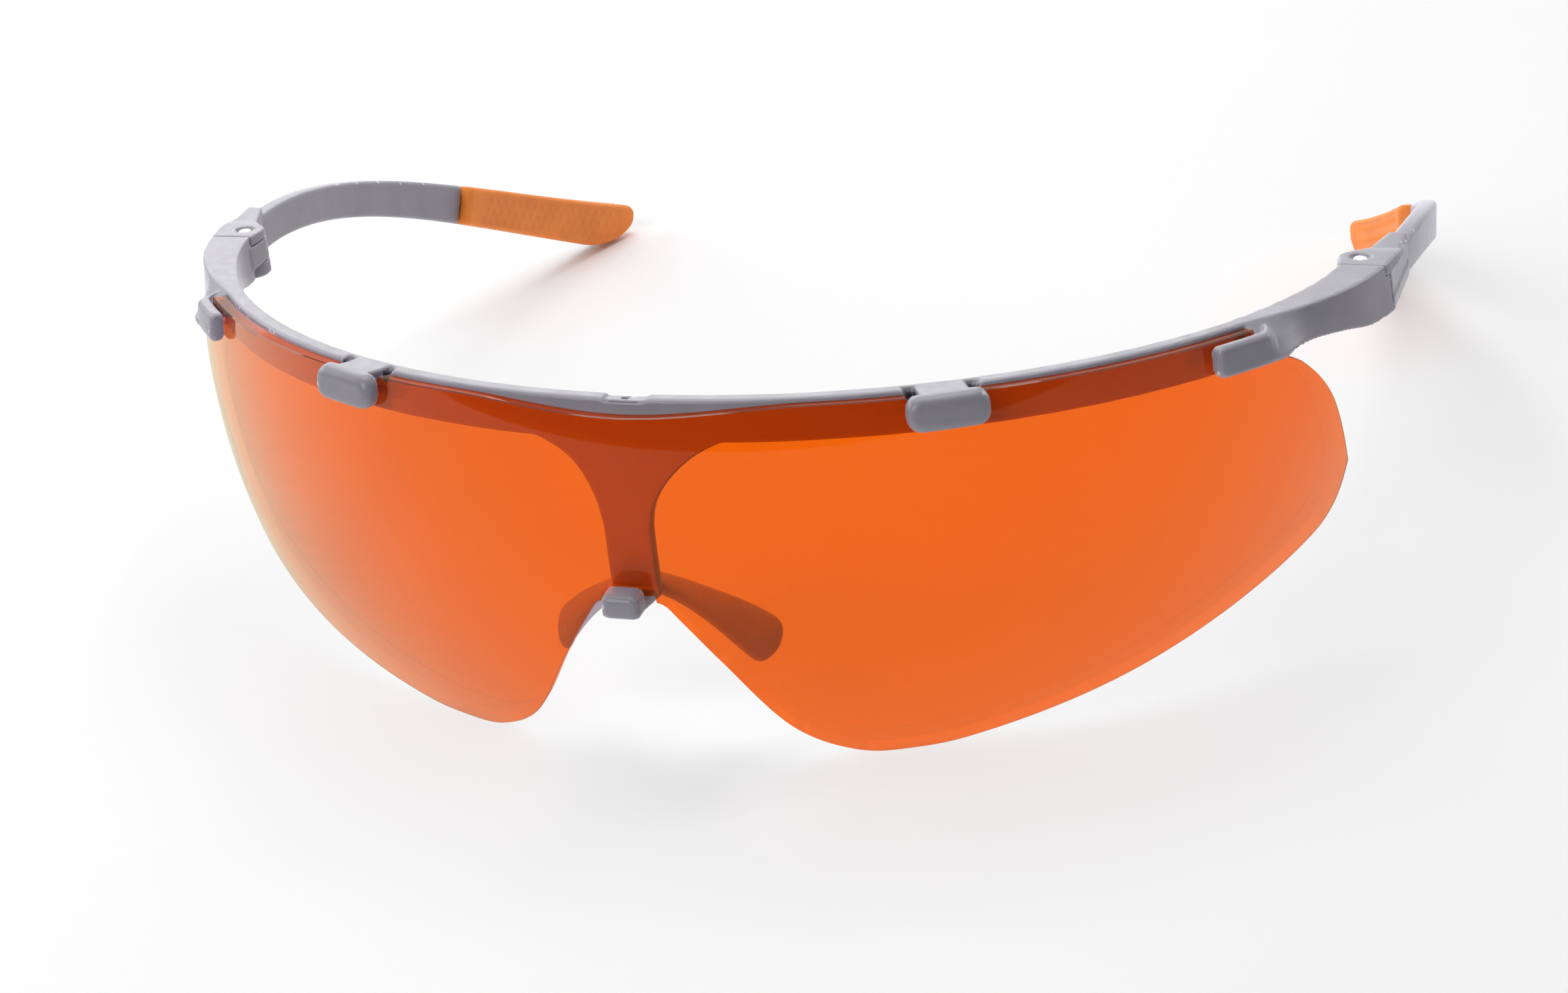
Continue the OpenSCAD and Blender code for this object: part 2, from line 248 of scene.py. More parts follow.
def scaled(colour, k):
    return tuple(min(1.0, c * k) for c in colour)


def new_material(name):
    mat = bpy.data.materials.new(name)
    mat.use_nodes = True
    tree = mat.node_tree
    return mat, tree, tree.nodes["Principled BSDF"]


def node(tree, kind, **values):
    """A new node, with values for its sockets or, where no socket has that name, its settings."""
    made = tree.nodes.new(kind)
    for key, value in values.items():
        if key in made.inputs:
            made.inputs[key].default_value = value
        else:
            setattr(made, key, value)
    return made


def ramp(tree, source, stops):
    """Colours by position along a ramp, from (position, colour) stops."""
    made = tree.nodes.new("ShaderNodeValToRGB")
    bar = made.color_ramp
    for element, (place, colour) in zip(bar.elements, (stops[0], stops[-1])):
        element.position, element.color = place, (*colour, 1)
    for place, colour in stops[1:-1]:
        bar.elements.new(place).color = (*colour, 1)
    tree.links.new(source, made.inputs["Fac"])
    return made.outputs["Color"]


def calc(tree, operation, *values):
    """The result of a sum, in which each value is a number or another node's output."""
    made = node(tree, "ShaderNodeMath", operation=operation)
    for socket, value in zip(made.inputs, values):
        if isinstance(value, (int, float)):
            socket.default_value = value
        else:
            tree.links.new(value, socket)
    return made.outputs["Value"]


def tinge(tree, share, base, colour):
    """The base colour, which gives way to another as the share goes to 1."""
    made = node(tree, "ShaderNodeMix", data_type="RGBA")
    tree.links.new(share, made.inputs["Factor"])
    tree.links.new(base, made.inputs[6])
    made.inputs[7].default_value = (*colour, 1)
    return made.outputs[2]


def blend_shaders(tree, share, first, second):
    """The first shader, which gives way to the second as the share goes to 1."""
    made = tree.nodes.new("ShaderNodeMixShader")
    tree.links.new(share, made.inputs["Fac"])
    tree.links.new(first, made.inputs[1])
    tree.links.new(second, made.inputs[2])
    return made.outputs["Shader"]


def noise(tree, scale, detail):
    """Noise in the object's own space, with its scale in waves a millimetre."""
    where = tree.nodes.new("ShaderNodeTexCoord")
    size = node(tree, "ShaderNodeMapping")
    size.inputs["Scale"].default_value = [scale / MM] * 3
    made = node(tree, "ShaderNodeTexNoise", Scale=1.0, Detail=detail, Roughness=0.55)
    tree.links.new(where.outputs["Object"], size.inputs["Vector"])
    tree.links.new(size.outputs["Vector"], made.inputs["Vector"])
    return made.outputs["Fac"]


def cloud(tree, scale, detail, low, high):
    """Two colours in soft patches."""
    return ramp(tree, noise(tree, scale, detail), [(0.3, low), (0.7, high)])


def bump(tree, shader, height, strength, distance):
    made = node(tree, "ShaderNodeBump", Strength=strength, Distance=distance * MM)
    tree.links.new(height, made.inputs["Height"])
    tree.links.new(made.outputs["Normal"], shader.inputs["Normal"])


def moulded(name, colour, rough, grain, edge, mottle=0.06, painted_light_behind=None):
    """Moulded plastic or rubber: mottled colour, uneven gloss, a fine grain and a painted highlight
    that lightens sharp edges and the faces seen at a glance.

    With a colour for the face behind the lens, the painted light behind the lens and the painted
    shade that mark_brow marks are used too.
    """
    mat, tree, shader = new_material(name)
    skin = cloud(tree, 0.18, 4, scaled(colour, 1 - mottle), scaled(colour, 1 + mottle))
    # Painted highlight: the lighter colour, by the edge factor, that sharp edges and glancing faces
    # get.
    highlight_tone = scaled(colour, edge)
    geometry = tree.nodes.new("ShaderNodeNewGeometry")
    # Painted highlight on sharp edges, found from the mesh's pointiness.
    edge_highlight = ramp(tree, geometry.outputs["Pointiness"], [(0.515, BLACK), (0.6, WHITE)])
    skin = tinge(tree, edge_highlight, skin, highlight_tone)
    # Painted rim highlight where the surface is seen at a glance.
    facing = node(tree, "ShaderNodeLayerWeight", Blend=0.5)
    rim_highlight = ramp(tree, facing.outputs["Facing"], [(0.78, BLACK), (0.97, WHITE)])
    skin = tinge(tree, rim_highlight, skin, highlight_tone)
    # Painted light: the face behind the lens is lightened as if lit through the lens.
    if painted_light_behind:
        # Painted shade: the slit along the lens's upper edge and the pits beside the clips' necks are
        # painted near black.
        for mark, tone in (("painted_light_behind_lens", painted_light_behind), ("painted_shade_groove", (0.02, 0.018, 0.02))):
            zone = node(tree, "ShaderNodeAttribute", attribute_name=mark)
            skin = tinge(tree, zone.outputs["Fac"], skin, tone)
    tree.links.new(skin, shader.inputs["Base Color"])
    gloss = cloud(tree, 0.6, 3, grey(rough - 0.06), grey(rough + 0.06))
    tree.links.new(gloss, shader.inputs["Roughness"])
    bump(tree, shader, noise(tree, grain, 3), 0.25, 0.02)
    return mat


def lens_material(name, tint, shine, least, most=1.0):
    """Tinted clear plastic that light crosses in a straight line.

    The mirrored share of the light grows from least, seen square on, to most at a glance.
    """
    mat, tree, shader = new_material(name)
    out = tree.nodes["Material Output"]
    tree.nodes.remove(shader)
    clear = node(tree, "ShaderNodeBsdfTransparent")
    haze = ramp(tree, noise(tree, 0.03, 2), [(0.35, scaled(tint, 0.985)), (0.65, tint)])
    tree.links.new(haze, clear.inputs["Color"])
    mirror = node(tree, "ShaderNodeBsdfGlossy", Color=(*shine, 1), Roughness=0.04)
    facing = node(tree, "ShaderNodeLayerWeight", Blend=0.5)
    steep = calc(tree, "POWER", facing.outputs["Facing"], 3.0)
    share = calc(tree, "MULTIPLY_ADD", steep, most - least, least)
    seen = blend_shaders(tree, share, clear.outputs["BSDF"], mirror.outputs["BSDF"])
    # Shadows and the light that falls through stay nearly neutral.
    shade = node(tree, "ShaderNodeBsdfTransparent", Color=(0.93, 0.91, 0.9, 1))
    path = tree.nodes.new("ShaderNodeLightPath")
    unseen = calc(tree, "MAXIMUM", path.outputs["Is Shadow Ray"], path.outputs["Is Diffuse Ray"])
    both = blend_shaders(tree, unseen, seen, shade.outputs["BSDF"])
    tree.links.new(both, out.inputs["Surface"])
    return mat


def metal_material(name):
    mat, tree, shader = new_material(name)
    shader.inputs["Metallic"].default_value = 1.0
    tone = cloud(tree, 1.2, 3, (0.66, 0.66, 0.68), (0.8, 0.8, 0.82))
    tree.links.new(tone, shader.inputs["Base Color"])
    gloss = cloud(tree, 2.5, 2, grey(0.22), grey(0.34))
    tree.links.new(gloss, shader.inputs["Roughness"])
    bump(tree, shader, noise(tree, 5, 2), 0.2, 0.01)
    return mat


FRAME_GREY = (0.262, 0.249, 0.292)
SADDLE_GREY = (0.52, 0.44, 0.52)
TIP_ORANGE = (0.93, 0.25, 0.032)
# Painted light: the frame's face behind the lens is painted this lighter colour, as if lit through the
# lens.
PAINTED_LIGHT_BEHIND_LENS = (0.68, 0.44, 1.0)
LENS_TINT = (0.965, 0.365, 0.045)
# The number after the roughness and grain sets how much lighter the painted edge highlight is.
frame_plastic = moulded("frame_plastic", FRAME_GREY, 0.34, 3.0, 2.3, painted_light_behind=PAINTED_LIGHT_BEHIND_LENS)
saddle_rubber = moulded("saddle_rubber", SADDLE_GREY, 0.6, 3.0, 1.2)
tip_rubber = moulded("tip_rubber", TIP_ORANGE, 0.62, 3.5, 1.15, 0.09)
lens_face = lens_material("lens_face", LENS_TINT, (0.8, 0.78, 0.6), 0.026)
lens_wall = lens_material("lens_wall", (0.955, 0.375, 0.06), (1.0, 0.85, 0.75), 0.03, 0.2)
lens_edge = lens_material("lens_edge", (0.4, 0.13, 0.05), (1.0, 0.9, 0.8), 0.06, 0.25)
pin_steel = metal_material("pin_steel")


# ------------------------------------------------------------------ lens
def curve_through(points, steps=12):
    """Points along a smooth curve through the given ones."""
    p = np.array(points, float)
    out = []
    for i in range(len(p) - 1):
        a, b, c, d = p[max(0, i - 1)], p[i], p[i + 1], p[min(len(p) - 1, i + 2)]
        for k in range(steps):
            t = k / steps
            out.append(
                0.5 * (2 * b + (c - a) * t + (2 * a - 5 * b + 4 * c - d) * t * t
                       + (3 * b - a - 3 * c + d) * t ** 3)
            )
    out.append(p[-1])
    return np.array(out)


LENS_END = 64.2
LENS_DIP = 1.3
DIP_END = 15.0
NOTCH_HALF = 2.9
NOTCH_DEEP = 1.5
LENS_TURN = 57
LENS_CHAMFER = 0.13
LENS_ROWS = 48
# The lens's outline, as (angle, height): up its side, and along its lower edge to the nose
LENS_SIDE = curve_through([(52.7, 36.7), (55.6, 36.2), (58.6, 33.8), (61.6, 29), (64.2, 20.3)])
LENS_LOW = curve_through(
    [(64.2, 20.3), (62.6, 15.4), (58.2, 12.1), (42.2, 5.1), (27.7, 0.9), (21.5, 0.05),
     (16.6, 0.6), (11.5, 4.5), (6.7, 13.4), (4, 18.4), (2.5, 20.6), (0, 20.6)]
)[::-1]


def lens_top_depth(angle):
    """How far the lens's upper edge lies below the frame's top face, apart from the notches."""
    return mix(LENS_DIP, FIT_GAP, smooth(abs(angle) / DIP_END))


def lens_high(angle):
    """Height of the lens's upper edge at an angle."""
    if angle > SLOT_END - 0.3:
        return float(np.interp(angle, LENS_SIDE[:, 0], LENS_SIDE[:, 1]))
    beside = abs(angle - CLIP_ANGLE)
    notch = 1 - smooth((beside - NOTCH_HALF + 0.35) / 0.5)
    return under_top(LENS_R, angle, mix(lens_top_depth(angle), NOTCH_DEEP, notch))[2]


def lens_low(angle):
    """Height of the lens's lower edge at an angle."""
    if angle < 2.25:
        return STEM_LOW + 0.2
    return float(np.interp(angle, LENS_LOW[:, 0], LENS_LOW[:, 1]))


def lens_columns():
    """Angles from the nose to the lens's end, closer together at the notches and the end."""
    stretches = (
        (0, 6), (2.2, 2), (2.3, 56), (CLIP_ANGLE - 3.2, 8), (CLIP_ANGLE - 2.2, 8),
        (CLIP_ANGLE + 2.2, 8), (CLIP_ANGLE + 3.2, 60), (SLOT_END - 0.32, 2),
        (SLOT_END - 0.28, 14), (LENS_TURN, 0),
    )
    columns = []
    for (a, n), (b, _) in zip(stretches, stretches[1:]):
        columns += [mix(a, b, k / n) for k in range(n)]
    n = 40
    return columns + [mix(LENS_TURN, LENS_END, math.sin(math.pi / 2 * k / n)) for k in range(n + 1)]


def lens_grid(columns, r, inset):
    """Points on the ball of radius r, on the rays to the lens's outline on its outer face."""
    centre = Vector((0, BALL_Y, BALL_Z))
    grid = []
    for a in columns:
        low, high = lens_low(abs(a)), lens_high(abs(a))
        cut = min(inset, (high - low) / 3)
        low, high = low + cut, high - cut
        column = []
        for j in range(LENS_ROWS + 1):
            outer = Vector(on_ball(LENS_R, a, mix(low, high, j / LENS_ROWS)))
            column.append(centre + (outer - centre) * (r / LENS_R))
        grid.append(column)
    return grid


def border(grid):
    """The outermost points or vertices of a grid, in order."""
    first, last = grid[0], grid[-1]
    return [c[0] for c in grid] + last[1:] + [c[-1] for c in grid[-2::-1]] + first[-2:0:-1]


def build_lens():
    """Two faces, and between them the edge: a chamfer, the wall and another chamfer."""
    one_side = lens_columns()
    columns = [-a for a in one_side[:0:-1]] + one_side
    bm = bmesh.new()

    def lay_face(r):
        made = [[bm.verts.new(p) for p in c] for c in lens_grid(columns, r, LENS_CHAMFER)]
        for c0, c1 in zip(made, made[1:]):
            for j in range(LENS_ROWS):
                bm.faces.new((c0[j], c1[j], c1[j + 1], c0[j + 1]))
        return border(made)

    outer, inner = lay_face(LENS_R), lay_face(LENS_IN)
    walls = [
        [bm.verts.new(p) for p in border(lens_grid(columns, r, 0))]
        for r in (LENS_R - LENS_CHAMFER, LENS_IN + LENS_CHAMFER)
    ]
    rings = [outer, *walls, inner]
    n = len(outer)
    for slot, a, b in zip((2, 1, 0), rings, rings[1:]):
        for k in range(n):
            j = (k + 1) % n
            bm.faces.new((a[k], a[j], b[j], b[k])).material_index = slot
    bmesh.ops.remove_doubles(bm, verts=bm.verts, dist=1e-4)
    return make_object("lens_shield", bm)


lens = build_lens()
for mat in (lens_face, lens_wall, lens_edge):
    lens.data.materials.append(mat)
crisp_edges = lens.modifiers.new("crisp_edges", "EDGE_SPLIT")
crisp_edges.split_angle = math.radians(28)


# ------------------------------------------------------------------ brow frame
RELIEF_W = 1.1
RELIEF_DEEP = 1.4
GATE_HALF = 2.0
GATE_DEEP = 0.25
HOOK_TOP = 0.35
HOOK_LOW = 3.6
HOOK_CORNER = 0.5
SHOULDER_DEEP = 1.5
SOLE_LOW = STEM_LOW - 1.1


def arc_length(angle, r):
    """Length of an angle at a radius."""
    return abs(angle) * math.radians(1) * r


def relief(angle):
    """How much of the band's front top edge is cut away beside a clip's neck."""
    beside = arc_length(abs(angle) - CLIP_ANGLE, LENS_R)
    middle = NECK_W / 2 + RELIEF_W / 2
    return 1 - smooth((abs(beside - middle) - RELIEF_W / 2 + 0.15) / 0.3)


def gate(angle):
    """The shallow notch in the top face at the nose."""
    return 1 - smooth((arc_length(angle, BAND_OUT) - GATE_HALF) / 0.4)


def band_rings():
    section = subdivide_ring(rounded(BAND_IN, BAND_OUT, 0, BAND_H, 0.3), 0.5)
    rings = []
    for a in np.arange(-SLOT_END - 2, SLOT_END + 2.01, 0.3):
        ring = []
        for r, depth in section:
            notch = GATE_DEEP * gate(a) * (1 - min(1.0, depth / 1.2))
            front = smooth((r - BAND_OUT + 1.1) / 0.25)
            cut = RELIEF_DEEP * relief(a) * front * max(0.0, 1 - depth / 3)
            ring.append(under_top(r, a, depth + (notch + cut)))
        rings.append(ring)
    return rings


def stem_rings():
    """The nose stem, which widens into the band in two fillets."""
    fillet_top = RIM_TOP - BAND_H + 0.6
    rings = []
    for z in np.arange(SOLE_LOW, fillet_top + 1.21, 0.3):
        rise = min(max(0.0, z - fillet_top + FILLET_R), FILLET_R * 0.999)
        half = STEM_W / 2 + FILLET_R - math.sqrt(FILLET_R ** 2 - rise ** 2)
        outline = rounded(-half, half, BAND_IN, BAND_OUT, 0.45)
        section = subdivide_ring(outline, 0.8)
        if rings and len(section) != len(rings[0]):
            section = even_ring(outline, len(rings[0]))
        rings.append([on_ball_x(r, x, z) for x, r in section])
    return rings


def clip_rings():
    """A clip's pad in front of the lens, as outlines at growing distances from the lens."""
    top = under_top(LENS_R + 1.8, CLIP_ANGLE, 0)[2] + 0.2
    high, corner = 3.5, 1.35
    rings = []
    for off, cut in ((FIT_GAP, 0), (1.0, 0), (1.35, 0.1), (1.62, 0.3), (1.76, 0.6), (1.8, 1.0)):
        half = CLIP_W / 2 - cut
        outline = subdivide_ring(rounded(-half, half, -high + cut, -cut, corner - cut * 0.6, 6), 0.6)
        if rings and len(outline) != len(rings[0]):
            outline = even_ring(outline, len(rings[0]))
        r = LENS_R + off
        rings.append([on_ball(r, CLIP_ANGLE + math.degrees(u / r), top + v) for u, v in outline])
    return rings


def neck_rings():
    """The neck that reaches over the lens's edge to a clip's pad: radius, rise and depth."""
    rings = []
    for r, lift, depth in (
        (BAND_IN + 0.5, 0.0, 1.2), (BAND_OUT, 0.0, 1.2), (LENS_R, 0.12, 1.2),
        (LENS_R + 0.9, 0.1, 1.5), (LENS_R + 1.35, -0.25, 1.9), (LENS_R + 1.6, -0.7, 2.2),
    ):
        half = math.degrees(NECK_W / 2 / r)
        outline = rounded(-half, half, -lift, depth, 0.25)
        rings.append([under_top(r, CLIP_ANGLE + s, t) for s, t in outline])
    return rings


def hook_rings():
    """The side hook: a short finger in front of the lens that grows out of the end plate."""
    rings = []
    for a in np.arange(HOOK_ANGLE, SLOT_END + 4, 0.15):
        from_tip = max(0.0, 1 - (a - HOOK_ANGLE) / 0.5)
        tuck = 0.6 * (1 - math.sqrt(max(0.0, 1 - from_tip ** 2)))
        sunk = mix(0.25, 0.6, smooth((a - SLOT_END - 2) / 2))
        into_plate = smooth((a - SLOT_END) / 2.5)
        outline = rounded(
            LENS_R + FIT_GAP, HOOK_OUT - tuck, HOOK_TOP + tuck, HOOK_LOW - tuck, HOOK_CORNER
        )
        ring = []
        for r, d in outline:
            x, y, z = under_top(r, a, d)
            skin = math.hypot(plate_skin(a, y, z), z - BALL_Z) - sunk
            ring.append(under_top(mix(r, min(r, skin), into_plate), a, d))
        rings.append(ring)
    return rings


# The end plate's outer face has three edges, each given as a distance from the ball's axis.
def plate_outer(a):
    """Its lower edge, which starts nearly level with the hook's face."""
    return mix(PLATE_OUT, HOOK_OUT - 0.3, (1 - smooth((a - SLOT_END - 0.5) / 9)) ** 1.5)


def plate_crease(a):
    """Its upper edge: the face leans inwards beside the hook and stands up at the hinge."""
    return 72.75 - 2.1 * (max(0.0, 66 - a) / 13) ** 1.6 - 0.08 * max(0.0, a - 68)


def plate_shoulder(a):
    """The bend in between, SHOULDER_DEEP below the upper edge."""
    share = mix(0.66, 0.34, smooth((a - SLOT_END - 1) / 9))
    return mix(plate_crease(a), plate_outer(a), share)


def plate_inner(a):
    """The end plate's inner face, which goes on from the band's."""
    band_edge = under_top(BAND_IN, a, 0)
    start = math.hypot(band_edge[0], band_edge[1] - BALL_Y)
    inside = math.sqrt(BAND_IN ** 2 - (RIM_TOP - BALL_Z) ** 2)
    return mix(start, inside, smooth((a - SLOT_END) / 8)) - 1.1 * (max(0.0, a - 58) / 13) ** 2


# The plate's lower edge, as (y, height)
PLATE_LOW = curve_through(
    [(-62, 37.1), (-52, 37.2), (-44, 36.8), (-36, 35.2), (-30, 33.6), (-24, 33.2), (-20, 33.2)]
)


def plate_low(y):
    return float(np.interp(y, PLATE_LOW[:, 0], PLATE_LOW[:, 1]))


def plate_skin(a, y, z):
    """Distance of the end plate's outer face from the ball's axis, at any height."""
    low, high = plate_low(y), top_z(y)
    level, shoulder = (z - low) / (high - low), 1 - SHOULDER_DEEP / (high - low)
    out, bend, crease = plate_outer(a), plate_shoulder(a), plate_crease(a)
    if level < shoulder:
        return mix(out, bend, max(0.0, level / shoulder))
    return mix(bend, crease, min(1.0, (level - shoulder) / (1 - shoulder)))


def plate_rings():
    rings = []
    for a in np.arange(SLOT_END, SLOT_END + 22.6, 0.3):
        t = math.radians(a)
        out, inside = plate_outer(a), plate_inner(a)
        low_y = BALL_Y - out * math.cos(t)
        low, high = plate_low(low_y), top_z(low_y)
        shoulder = 1 - SHOULDER_DEEP / (high - low)
        corners = [
            (inside, 0), (out, 0), (plate_shoulder(a), shoulder), (plate_crease(a), 1), (inside, 1)
        ]
        ring = []
        for r, level in corners:
            x, y = r * math.sin(t), BALL_Y - r * math.cos(t)
            ring.append((x, y, mix(low, top_z(y), level)))
        rings.append(ring)
    return rings


def prism_rings(outline, z0, z1):
    return [[(x, y, z) for x, y in outline] for z in (z0, z1)]


def circle(cx, cy, r, count=40):
    turns = [2 * math.pi * k / count for k in range(count)]
    return [(cx + r * math.cos(a), cy + r * math.sin(a)) for a in turns]


def build_brow():
    """The moulded frame, with the knuckle, its bridge and the wall behind it at each hinge."""
    bm = bmesh.new()
    loft(bm, band_rings())
    loft(bm, stem_rings())
    nose_hook(bm)
    x0, x1 = PIN_X - KNUCKLE_R, PIN_X + KNUCKLE_R
    bridge = [(x0, SEAM_Y - 1), (x1 - 0.6, SEAM_Y - 1), (x1 - 0.6, PIN_Y), (x0, PIN_Y)]
    knuckle = circle(PIN_X, PIN_Y, KNUCKLE_R)
    for side in (1, -1):
        for rings in (clip_rings(), neck_rings(), hook_rings()):
            loft(bm, [flip(r, side) for r in rings])
        faces = loft(bm, [flip(r, side) for r in plate_rings()])
        clip_faces(bm, faces, (0, SEAM_Y - LEAF_GAP, 0), (0, 1, 0))
        wall = loft(bm, [flip(r, side) for r in plate_rings()])
        wall = clip_faces(bm, wall, (0, SHOULDER_Y, 0), (0, 1, 0))
        wall = clip_faces(bm, wall, (0, SEAM_Y - 1, 0), (0, -1, 0))
        wall = clip_faces(bm, wall, (0, 0, KNUCKLE_TOP), (0, 0, 1))
        clip_faces(bm, wall, (side * (PIN_X + 1.2), 0, 0), (-side, 0, 0))
        for outline in (knuckle, bridge):
            loft(bm, [flip(r, side) for r in prism_rings(outline, KNUCKLE_LOW, KNUCKLE_TOP)])
    obj = make_object("brow_shell", bm)
    fuse(obj, 0.17, 5)
    dimple(obj)
    return obj


def nose_hook(bm):
    """The sole under the lens's nose arch and the plate that turns up in front of the lens."""
    front_y = BALL_Y - LENS_R - 2.9
    back_y = BALL_Y - BAND_IN + 1
    sole = even_ring(rounded(-1, 1, SOLE_LOW, STEM_LOW, 0.35), 40)
    rings = []
    for y in np.linspace(front_y + 0.5, back_y, 12):
        wide = mix(NOSE_HOOK_W / 2, STEM_W / 2, smooth((y - front_y - 2) / 3))
        rings.append([(x * wide, y, z) for x, z in sole])
    loft(bm, rings)
    rings = []
    top, corner = 22.9, 0.9
    for back, cut in ((2.6, 0), (1.0, 0), (0.45, 0.12), (0.12, 0.4), (0, 0.8)):
        half = NOSE_HOOK_W / 2 - cut
        plate = even_ring(rounded(-half, half, SOLE_LOW + cut, top - cut, corner - cut * 0.7, 5), 48)
        rings.append([(x, front_y + back, z) for x, z in plate])
    loft(bm, rings)


def dimple(obj):
    """The small hole left by the moulding gate, in the notch at the nose."""
    hole_r, deep = 0.42, 0.7
    x, y, z = under_top((BAND_IN + BAND_OUT) / 2, 0, 0)
    for v in obj.data.vertices:
        away = math.hypot(v.co.x / MM - x, v.co.y / MM - y)
        if away < hole_r and abs(v.co.z / MM - z) < 0.6:
            v.co.z -= deep * MM * (1 - smooth((away - hole_r + 0.2) / 0.2))


def mark_brow(obj):
    """Marks two things on each vertex, from 0 to 1.

    The first is painted light: the face against the lens, painted lighter as if lit through the
    lens. The second is painted shade: the dark slit along the lens's upper edge, with the pits
    beside the clips' necks.
    """
    painted_light_behind, shade = [], []
    centre = Vector((0, BALL_Y, BALL_Z))
    for v in obj.data.vertices:
        p = v.co / MM
        angle = math.degrees(math.atan2(p.x, BALL_Y - p.y))
        depth = top_z(p.y) - p.z
        inward = BAND_OUT - (p - centre).length
        covered = smooth((depth - lens_top_depth(angle) - 0.3) / 0.3)
        covered *= smooth(SLOT_END - 0.5 - abs(angle))
        # Painted light: how much the face behind the lens is painted lighter.
        painted_light_behind.append(covered * smooth((0.26 - inward) / 0.12) * (inward > -0.12))
        # Painted shade: the dark slit along the lens's upper edge, and below it the pits beside the
        # clips' necks.
        slit_shade = smooth((0.5 - inward) / 0.15) * (inward > 0.1)
        slit_shade *= smooth((depth - 0.22) / 0.1) * (depth < 1.2)
        slit_shade *= smooth(SLOT_END - abs(angle))
        pit_shade = relief(angle) * (0.1 < inward < 1.15)
        pit_shade *= smooth((depth - 0.4) / 0.3) * (depth < 1.5)
        shade.append(max(slit_shade * 0.8, pit_shade))
    for name, values in (("painted_light_behind_lens", painted_light_behind), ("painted_shade_groove", shade)):
        obj.data.attributes.new(name, "FLOAT", "POINT").data.foreach_set("value", values)


NOSE_SHIFT = 0.7


def lean_nose(obj):
    """Shifts the nose stem and what hangs on it to one side, less so further up and outwards."""
    for v in obj.data.vertices:
        x, z = v.co.x / MM, v.co.z / MM
        v.co.x -= NOSE_SHIFT * MM * smooth((37.5 - z) / 8) * math.exp(-(x / 13) ** 2)


brow = build_brow()
mark_brow(brow)
lean_nose(brow)
lean_nose(lens)
brow.data.materials.append(frame_plastic)


# ------------------------------------------------------------------ temples
def along(u):
    """The point on the arm's upper edge where u goes from 0 at the hinge to 1 at the end."""
    a, b, c, d = ARM_CURVE
    v = 1 - u
    return v ** 3 * a + 3 * u * v ** 2 * b + 3 * u * u * v * c + u ** 3 * d


TOE_START = 0.9
TOE_END = 1.012
TOE_TOP_START = 0.988
TOE_TOP_SPAN = 0.016
TOE_TOP_FALL = 1.4


def toe(u):
    """The share of its height that the arm keeps towards its rounded end."""
    if u < TOE_START:
        return 1.0
    return math.sqrt(max(0.0, 1 - ((u - TOE_START) / (TOE_END - TOE_START)) ** 2))


def toe_top(u):
    """How far the upper edge has come down at the rounded end."""
    v = min(1.0, max(0.0, (u - TOE_TOP_START) / TOE_TOP_SPAN))
    return TOE_TOP_FALL * (1 - math.sqrt(1 - v * v))


def arm_height(u):
    return mix(ARM_H, TIP_H, u * abs(u)) * toe(u)


def arm_axes(u):
    """The point on the upper edge, the level direction outwards and the one down the side."""
    step = 0.002
    ahead = along(u + step) - along(u - step)
    ahead /= np.linalg.norm(ahead)
    side = np.array([ahead[1], -ahead[0], 0])
    side /= np.linalg.norm(side)
    down = np.cross(ahead, side)
    if down[2] > 0:
        down = -down
    return along(u), side, down


def arm_rings(u0, u1, out, inside, count):
    """The arm's outlines between two places along it, from its outer to its inner face."""
    rings = []
    for i in range(count + 1):
        u = mix(u0, u1, i / count)
        here, side, down = arm_axes(u)
        h = arm_height(u)
        ring = rounded(inside, out, toe_top(u), h, min(0.6, h / 3, (out - inside) / 2.3))
        rings.append([tuple(here + side * s + down * t) for s, t in ring])
    return rings


LEAF_END_Y = -14.0
WEB_LEAN = 0.45
LEAF_SIDE = [(PIN_X + 4.5, LEAF_END_Y), (PIN_X + 2.2, LEAF_END_Y)]
# The lower leaf and the web that joins the leaves behind the knuckle, seen from above
LEAF = [
    (PIN_X - 1.2, PIN_Y - 2), (PIN_X + 0.2, SEAM_Y), (PIN_X + 3.75, SEAM_Y), *LEAF_SIDE,
    (PIN_X - 0.6, PIN_Y + 2.3),
]
WEB = [
    (PIN_X + 1.9, PIN_Y + 2.0), (PIN_X + 2.75, PIN_Y + 0.3),
    (PIN_X + 2.75, SHOULDER_Y + LEAF_GAP), (PIN_X + 3.85, SHOULDER_Y + LEAF_GAP), *LEAF_SIDE,
    (PIN_X + 0.4, -19.4), (PIN_X + 0.9, PIN_Y + 2.7),
]
# The upper leaf's two sides, as (y, x)
LEAF_INNER = curve_through([
    (SEAM_Y, PIN_X - 2.15), (-24.4, PIN_X - 2.3), (-22.4, PIN_X - 2.2), (-20.4, PIN_X - 0.6),
    (-17.3, PIN_X + 1.5), (LEAF_END_Y, PIN_X + 2.2),
])
LEAF_OUTER = curve_through([
    (SEAM_Y, PIN_X + 2.85), (-23.5, PIN_X + 3.4), (-19.8, PIN_X + 3.95), (LEAF_END_Y, PIN_X + 4.3),
])


def leaf_top(y):
    """The upper leaf's top goes on from the end plate's and settles into the arm's."""
    arm_top = ARM_CURVE[0][2] - 0.073 * (y - ARM_CURVE[0][1])
    return mix(top_z(y), arm_top, smooth((y + 22.5) / 8))


def leaf_rings(low):
    rings = []
    for y in np.linspace(SEAM_Y, LEAF_END_Y, 60):
        inner = float(np.interp(y, LEAF_INNER[:, 0], LEAF_INNER[:, 1]))
        outer = float(np.interp(y, LEAF_OUTER[:, 0], LEAF_OUTER[:, 1]))
        top = leaf_top(y)
        rings.append([(inner, y, low), (outer + 0.3, y, low), (outer, y, top), (inner, y, top)])
    return rings


